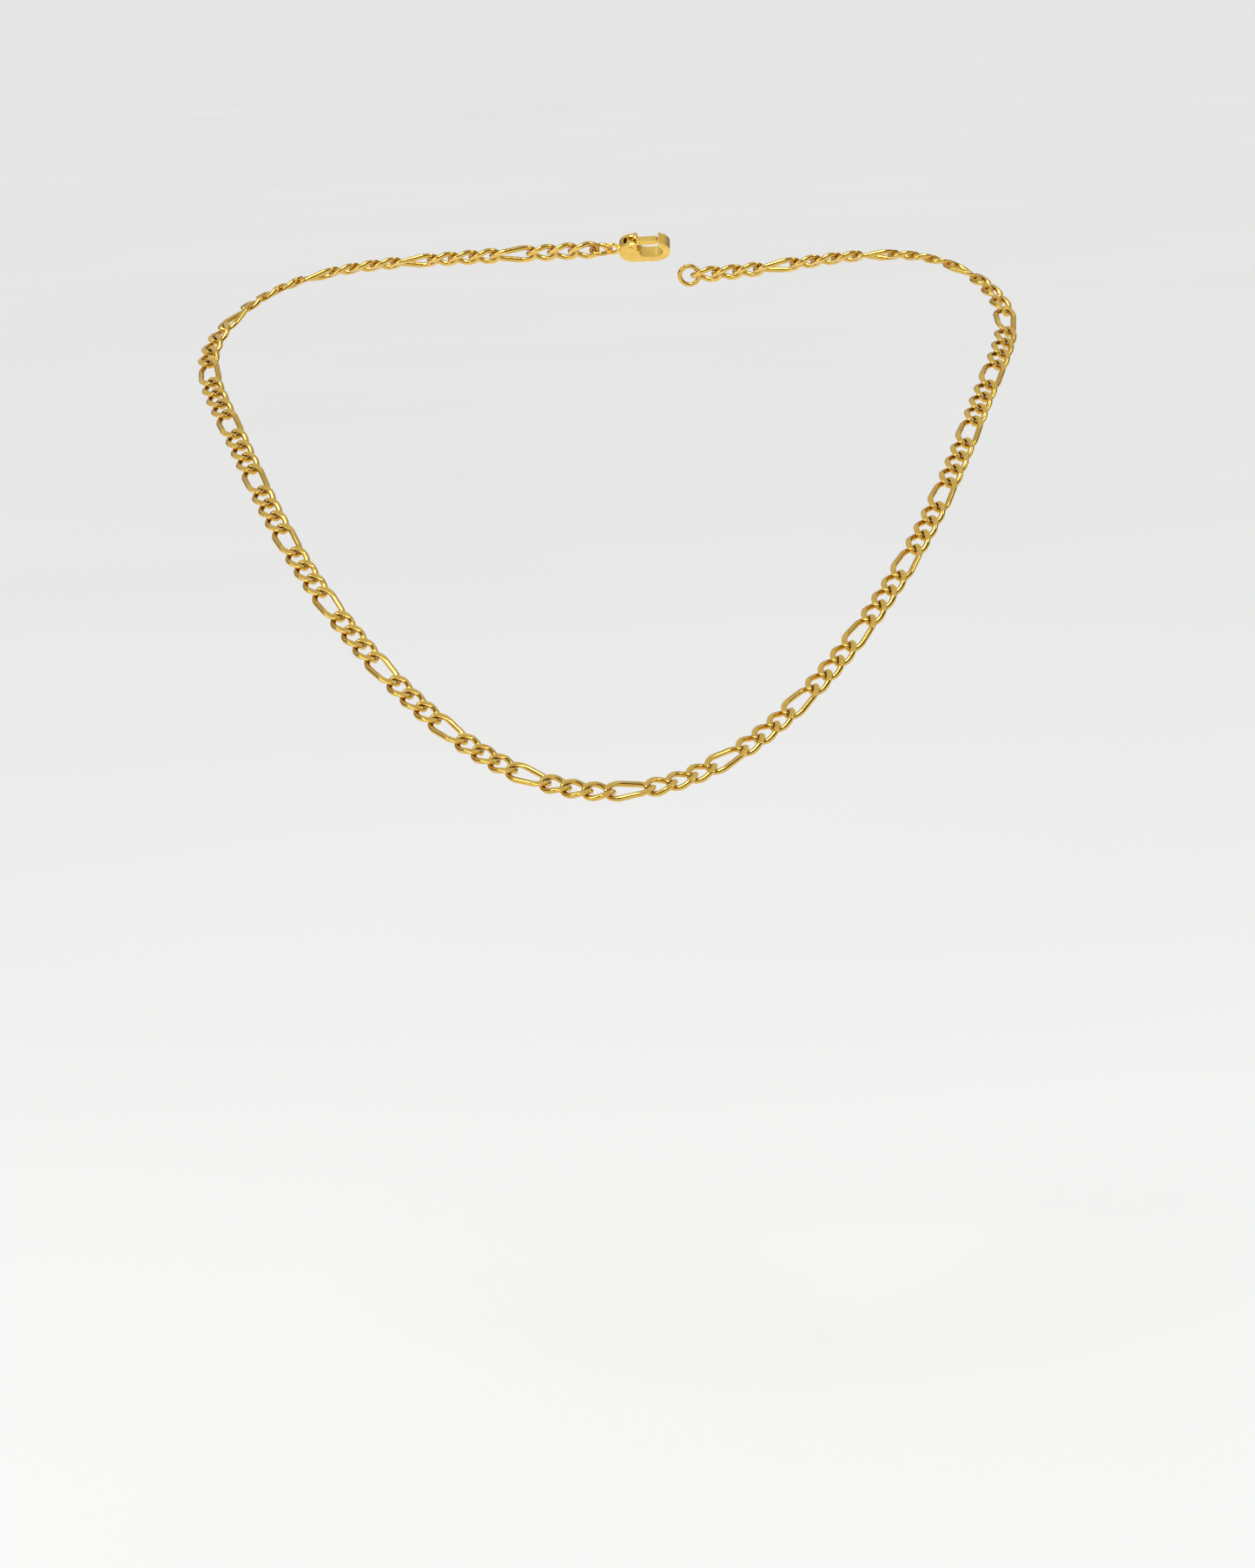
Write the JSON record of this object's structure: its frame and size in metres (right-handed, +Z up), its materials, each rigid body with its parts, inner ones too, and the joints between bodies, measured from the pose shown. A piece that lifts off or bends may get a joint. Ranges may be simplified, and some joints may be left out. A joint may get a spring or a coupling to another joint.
{
  "type": "chain necklace",
  "caption": "Gold-coloured Figaro chain necklace: one long flattened curb link after every three short ones, with a lobster clasp and jump rings at the nape.",
  "frame": {"origin": "the point where the chain's line crosses the nape, at the back of the neck", "axes": "+Z up, front of the necklace towards -Y, +X to the viewer's right; the loop is widest along X"},
  "size_m": [0.1598, 0.1347, 0.0957],
  "materials": {
    "gold_chain": "polished yellow gold, ground faces brighter than the round sides",
    "gold_ring": "polished yellow gold wire",
    "gold_clasp": "polished yellow gold, cast",
    "steel_spring": "bright spring wire"
  },
  "bodies": {
    "clasp": {"clasp_body": "gold_clasp", "clasp_rivet": "gold_clasp", "clasp_spring": "steel_spring"},
    "trigger": {"clasp_trigger": "gold_clasp"},
    "clasp_jump_ring": {"clasp_jump_ring": "gold_ring"},
    "short_links_01": {"short_links_01": "gold_chain"},
    "long_link_01": {"long_link_01": "gold_chain"},
    "short_links_02": {"short_links_02": "gold_chain"},
    "long_link_02": {"long_link_02": "gold_chain"},
    "short_links_03": {"short_links_03": "gold_chain"},
    "long_link_03": {"long_link_03": "gold_chain"},
    "short_links_04": {"short_links_04": "gold_chain"},
    "long_link_04": {"long_link_04": "gold_chain"},
    "short_links_05": {"short_links_05": "gold_chain"},
    "long_link_05": {"long_link_05": "gold_chain"},
    "short_links_06": {"short_links_06": "gold_chain"},
    "long_link_06": {"long_link_06": "gold_chain"},
    "short_links_07": {"short_links_07": "gold_chain"},
    "long_link_07": {"long_link_07": "gold_chain"},
    "short_links_08": {"short_links_08": "gold_chain"},
    "long_link_08": {"long_link_08": "gold_chain"},
    "short_links_09": {"short_links_09": "gold_chain"},
    "long_link_09": {"long_link_09": "gold_chain"},
    "short_links_10": {"short_links_10": "gold_chain"},
    "long_link_10": {"long_link_10": "gold_chain"},
    "short_links_11": {"short_links_11": "gold_chain"},
    "long_link_11": {"long_link_11": "gold_chain"},
    "short_links_12": {"short_links_12": "gold_chain"},
    "long_link_12": {"long_link_12": "gold_chain"},
    "short_links_13": {"short_links_13": "gold_chain"},
    "long_link_13": {"long_link_13": "gold_chain"},
    "short_links_14": {"short_links_14": "gold_chain"},
    "long_link_14": {"long_link_14": "gold_chain"},
    "short_links_15": {"short_links_15": "gold_chain"},
    "long_link_15": {"long_link_15": "gold_chain"},
    "short_links_16": {"short_links_16": "gold_chain"},
    "long_link_16": {"long_link_16": "gold_chain"},
    "short_links_17": {"short_links_17": "gold_chain"},
    "long_link_17": {"long_link_17": "gold_chain"},
    "short_links_18": {"short_links_18": "gold_chain"},
    "long_link_18": {"long_link_18": "gold_chain"},
    "short_links_19": {"short_links_19": "gold_chain"},
    "long_link_19": {"long_link_19": "gold_chain"},
    "short_links_20": {"short_links_20": "gold_chain"},
    "long_link_20": {"long_link_20": "gold_chain"},
    "short_links_21": {"short_links_21": "gold_chain"},
    "long_link_21": {"long_link_21": "gold_chain"},
    "short_links_22": {"short_links_22": "gold_chain"},
    "long_link_22": {"long_link_22": "gold_chain"},
    "short_links_23": {"short_links_23": "gold_chain"},
    "long_link_23": {"long_link_23": "gold_chain"},
    "short_links_24": {"short_links_24": "gold_chain"},
    "long_link_24": {"long_link_24": "gold_chain"},
    "short_links_25": {"short_links_25": "gold_chain"},
    "end_ring": {"end_ring": "gold_ring"}
  },
  "joints": [
    {"name": "trigger_pivot", "type": "hinge", "parent": "clasp", "child": "trigger", "pos_m": [0.00532, -0.00108, 0.00081], "axis": [0.0226, 0.6549, 0.7553], "range_deg": [0, 25], "stiffness_Nm_per_rad": 0.002, "springref_deg": -17.19},
    {"name": "clasp_to_clasp_jump_ring", "type": "hinge", "parent": "clasp", "child": "clasp_jump_ring", "pos_m": [0.00035, 0, 0], "axis": [0.0069, 0.7553, -0.6554], "range_deg": [-20, 20]},
    {"name": "clasp_jump_ring_to_short_links_01", "type": "hinge", "parent": "clasp_jump_ring", "child": "short_links_01", "pos_m": [-0.00248, -0.00001, 0], "axis": [-0.0031, 0.9136, 0.4067], "range_deg": [-20, 20]},
    {"name": "short_links_01_to_long_link_01", "type": "hinge", "parent": "short_links_01", "child": "long_link_01", "pos_m": [-0.01371, -0.00042, -0.00001], "axis": [0.0003, 0.0844, -0.9964], "range_deg": [-16, 17]},
    {"name": "long_link_01_to_short_links_02", "type": "hinge", "parent": "long_link_01", "child": "short_links_02", "pos_m": [-0.0222, -0.00089, -0.00005], "axis": [-0.0547, 0.9651, 0.256], "range_deg": [-15, 15]},
    {"name": "short_links_02_to_long_link_02", "type": "hinge", "parent": "short_links_02", "child": "long_link_02", "pos_m": [-0.03337, -0.00137, -0.00018], "axis": [-0.0199, -0.3069, 0.9515], "range_deg": [-14, 15]},
    {"name": "long_link_02_to_short_links_03", "type": "hinge", "parent": "long_link_02", "child": "short_links_03", "pos_m": [-0.04186, -0.00156, -0.00042], "axis": [0.0327, -0.8837, -0.4668], "range_deg": [-15, 15]},
    {"name": "short_links_03_to_long_link_03", "type": "hinge", "parent": "short_links_03", "child": "long_link_03", "pos_m": [-0.05298, -0.00224, -0.00133], "axis": [0.0744, 0.4867, -0.8704], "range_deg": [-14, 17]},
    {"name": "long_link_03_to_short_links_04", "type": "hinge", "parent": "long_link_03", "child": "short_links_04", "pos_m": [-0.06115, -0.00394, -0.00297], "axis": [-0.2763, 0.7531, 0.5971], "range_deg": [-20, 10]},
    {"name": "short_links_04_to_long_link_04", "type": "hinge", "parent": "short_links_04", "child": "long_link_04", "pos_m": [-0.07035, -0.00879, -0.00694], "axis": [0.0564, -0.6144, 0.787], "range_deg": [-14, 8]},
    {"name": "long_link_04_to_short_links_05", "type": "hinge", "parent": "long_link_04", "child": "short_links_05", "pos_m": [-0.07533, -0.01439, -0.01095], "axis": [0.7864, -0.3211, -0.5277], "range_deg": [-6, 19]},
    {"name": "short_links_05_to_long_link_05", "type": "hinge", "parent": "short_links_05", "child": "long_link_05", "pos_m": [-0.07796, -0.0236, -0.01657], "axis": [-0.3627, 0.4001, -0.8416], "range_deg": [-8, 18]},
    {"name": "long_link_05_to_short_links_06", "type": "hinge", "parent": "long_link_05", "child": "short_links_06", "pos_m": [-0.07701, -0.03106, -0.02053], "axis": [-0.8481, -0.3286, 0.4156], "range_deg": [-20, 13]},
    {"name": "short_links_06_to_long_link_06", "type": "hinge", "parent": "short_links_06", "child": "long_link_06", "pos_m": [-0.07413, -0.04063, -0.02554], "axis": [0.4575, -0.3082, 0.8341], "range_deg": [-20, 20]},
    {"name": "long_link_06_to_short_links_07", "type": "hinge", "parent": "long_link_06", "child": "short_links_07", "pos_m": [-0.07175, -0.04777, -0.02949], "axis": [0.7514, 0.4934, -0.4381], "range_deg": [-20, 20]},
    {"name": "short_links_07_to_long_link_07", "type": "hinge", "parent": "short_links_07", "child": "long_link_07", "pos_m": [-0.06865, -0.05702, -0.03495], "axis": [-0.532, 0.3047, -0.79], "range_deg": [-2, 20]},
    {"name": "long_link_07_to_short_links_08", "type": "hinge", "parent": "long_link_07", "child": "short_links_08", "pos_m": [-0.06617, -0.06391, -0.03927], "axis": [-0.6906, -0.5461, 0.4742], "range_deg": [-20, 20]},
    {"name": "short_links_08_to_long_link_08", "type": "hinge", "parent": "short_links_08", "child": "long_link_08", "pos_m": [-0.0626, -0.07271, -0.04517], "axis": [0.5826, -0.2751, 0.7648], "range_deg": [-20, 1]},
    {"name": "long_link_08_to_short_links_09", "type": "hinge", "parent": "long_link_08", "child": "short_links_09", "pos_m": [-0.05954, -0.07914, -0.04981], "axis": [0.6167, 0.6318, -0.4695], "range_deg": [-20, 20]},
    {"name": "short_links_09_to_long_link_09", "type": "hinge", "parent": "short_links_09", "child": "long_link_09", "pos_m": [-0.05498, -0.08717, -0.05611], "axis": [-0.6056, 0.2324, -0.7611], "range_deg": [-1, 20]},
    {"name": "long_link_09_to_short_links_10", "type": "hinge", "parent": "long_link_09", "child": "short_links_10", "pos_m": [-0.05107, -0.09293, -0.06098], "axis": [-0.5344, -0.7268, 0.4315], "range_deg": [-20, 20]},
    {"name": "short_links_10_to_long_link_10", "type": "hinge", "parent": "short_links_10", "child": "long_link_10", "pos_m": [-0.0454, -0.10014, -0.06737], "axis": [0.5945, -0.1768, 0.7844], "range_deg": [-20, 1]},
    {"name": "long_link_10_to_short_links_11", "type": "hinge", "parent": "long_link_10", "child": "short_links_11", "pos_m": [-0.04069, -0.10539, -0.07212], "axis": [0.471, 0.7857, -0.4011], "range_deg": [-20, 20]},
    {"name": "short_links_11_to_long_link_11", "type": "hinge", "parent": "short_links_11", "child": "long_link_11", "pos_m": [-0.03394, -0.11203, -0.07806], "axis": [-0.5333, 0.092, -0.8409], "range_deg": [-1, 20]},
    {"name": "long_link_11_to_short_links_12", "type": "hinge", "parent": "long_link_11", "child": "short_links_12", "pos_m": [-0.02832, -0.11692, -0.08216], "axis": [-0.4271, -0.8167, 0.388], "range_deg": [-20, 20]},
    {"name": "short_links_12_to_long_link_12", "type": "hinge", "parent": "short_links_12", "child": "long_link_12", "pos_m": [-0.02012, -0.123, -0.08669], "axis": [0.3621, 0.0444, 0.9311], "range_deg": [-20, 2]},
    {"name": "long_link_12_to_short_links_13", "type": "hinge", "parent": "long_link_12", "child": "short_links_13", "pos_m": [-0.01303, -0.12693, -0.08926], "axis": [0.3481, 0.8643, -0.3631], "range_deg": [-18, 20]},
    {"name": "short_links_13_to_long_link_13", "type": "hinge", "parent": "short_links_13", "child": "long_link_13", "pos_m": [-0.00246, -0.12997, -0.09099], "axis": [0.0453, -0.1377, -0.9894], "range_deg": [-13, 20]},
    {"name": "long_link_13_to_short_links_14", "type": "hinge", "parent": "long_link_13", "child": "short_links_14", "pos_m": [0.00601, -0.12939, -0.09068], "axis": [0.0536, -0.9492, 0.3101], "range_deg": [-20, 8]},
    {"name": "short_links_14_to_long_link_14", "type": "hinge", "parent": "short_links_14", "child": "long_link_14", "pos_m": [0.01613, -0.12538, -0.08828], "axis": [-0.4061, 0.017, 0.9137], "range_deg": [-20, 18]},
    {"name": "long_link_14_to_short_links_15", "type": "hinge", "parent": "long_link_14", "child": "short_links_15", "pos_m": [0.02288, -0.12112, -0.08536], "axis": [-0.3748, 0.849, -0.3724], "range_deg": [-20, 20]},
    {"name": "short_links_15_to_long_link_15", "type": "hinge", "parent": "short_links_15", "child": "long_link_15", "pos_m": [0.03076, -0.11487, -0.08048], "axis": [0.5506, 0.1116, -0.8273], "range_deg": [-20, 20]},
    {"name": "long_link_15_to_short_links_16", "type": "hinge", "parent": "long_link_15", "child": "short_links_16", "pos_m": [0.03619, -0.10992, -0.0762], "axis": [0.4336, -0.8129, 0.3889], "range_deg": [-20, 20]},
    {"name": "short_links_16_to_long_link_16", "type": "hinge", "parent": "short_links_16", "child": "long_link_16", "pos_m": [0.04273, -0.10319, -0.07013], "axis": [-0.5993, -0.1883, 0.7781], "range_deg": [-20, 20]},
    {"name": "long_link_16_to_short_links_17", "type": "hinge", "parent": "long_link_16", "child": "short_links_17", "pos_m": [0.04729, -0.09786, -0.06532], "axis": [-0.481, 0.7773, -0.4055], "range_deg": [-20, 20]},
    {"name": "short_links_17_to_long_link_17", "type": "hinge", "parent": "short_links_17", "child": "long_link_17", "pos_m": [0.05276, -0.09052, -0.05891], "axis": [0.6039, 0.241, -0.7598], "range_deg": [-20, 20]},
    {"name": "long_link_17_to_short_links_18", "type": "hinge", "parent": "long_link_17", "child": "short_links_18", "pos_m": [0.05652, -0.08464, -0.05406], "axis": [0.5485, -0.7118, 0.4387], "range_deg": [-20, 20]},
    {"name": "short_links_18_to_long_link_18", "type": "hinge", "parent": "short_links_18", "child": "long_link_18", "pos_m": [0.06088, -0.07644, -0.04783], "axis": [-0.5753, -0.2817, 0.7679], "range_deg": [-20, 20]},
    {"name": "long_link_18_to_short_links_19", "type": "hinge", "parent": "long_link_18", "child": "short_links_19", "pos_m": [0.0638, -0.06991, -0.04325], "axis": [-0.631, 0.6146, -0.4734], "range_deg": [-20, 20]},
    {"name": "short_links_19_to_long_link_19", "type": "hinge", "parent": "short_links_19", "child": "long_link_19", "pos_m": [0.06724, -0.06101, -0.03742], "axis": [0.52, 0.308, -0.7967], "range_deg": [-20, 20]},
    {"name": "long_link_19_to_short_links_20", "type": "hinge", "parent": "long_link_19", "child": "short_links_20", "pos_m": [0.06966, -0.05407, -0.03316], "axis": [0.703, -0.5331, 0.4707], "range_deg": [-20, 20]},
    {"name": "short_links_20_to_long_link_20", "type": "hinge", "parent": "short_links_20", "child": "long_link_20", "pos_m": [0.07275, -0.04476, -0.0278], "axis": [-0.4425, -0.3086, 0.842], "range_deg": [-20, 20]},
    {"name": "long_link_20_to_short_links_21", "type": "hinge", "parent": "long_link_20", "child": "short_links_21", "pos_m": [0.07513, -0.03758, -0.02392], "axis": [-0.7622, 0.4846, -0.4292], "range_deg": [-20, 20]},
    {"name": "short_links_21_to_long_link_21", "type": "hinge", "parent": "short_links_21", "child": "long_link_21", "pos_m": [0.07764, -0.02792, -0.01889], "axis": [0.3273, 0.4538, -0.8288], "range_deg": [-20, 20]},
    {"name": "long_link_21_to_short_links_22", "type": "hinge", "parent": "long_link_21", "child": "short_links_22", "pos_m": [0.07769, -0.02047, -0.0148], "axis": [0.8737, -0.2384, 0.424], "range_deg": [-20, 20]},
    {"name": "short_links_22_to_long_link_22", "type": "hinge", "parent": "short_links_22", "child": "long_link_22", "pos_m": [0.07356, -0.01191, -0.00929], "axis": [-0.0444, -0.5763, 0.816], "range_deg": [-20, 20]},
    {"name": "long_link_22_to_short_links_23", "type": "hinge", "parent": "long_link_22", "child": "short_links_23", "pos_m": [0.06758, -0.00683, -0.00603], "axis": [-0.6914, -0.448, -0.5668], "range_deg": [-16, 20]},
    {"name": "short_links_23_to_long_link_23", "type": "hinge", "parent": "short_links_23", "child": "long_link_23", "pos_m": [0.05779, -0.00305, -0.004], "axis": [0.0508, 0.435, -0.899], "range_deg": [-20, 20]},
    {"name": "long_link_23_to_short_links_24", "type": "hinge", "parent": "long_link_23", "child": "short_links_24", "pos_m": [0.04937, -0.00189, -0.00392], "axis": [0.1161, 0.801, 0.5873], "range_deg": [-20, 20]},
    {"name": "short_links_24_to_long_link_24", "type": "hinge", "parent": "short_links_24", "child": "long_link_24", "pos_m": [0.03825, -0.00148, -0.00478], "axis": [-0.0905, -0.2549, 0.9627], "range_deg": [-20, 20]},
    {"name": "long_link_24_to_short_links_25", "type": "hinge", "parent": "long_link_24", "child": "short_links_25", "pos_m": [0.02979, -0.00126, -0.00551], "axis": [0.0127, -0.9076, -0.4195], "range_deg": [-20, 20]},
    {"name": "short_links_25_to_end_ring", "type": "hinge", "parent": "short_links_25", "child": "end_ring", "pos_m": [0.01743, -0.00062, -0.00603], "axis": [0.0479, 0.9601, 0.2755], "range_deg": [-20, 20]}
  ]
}
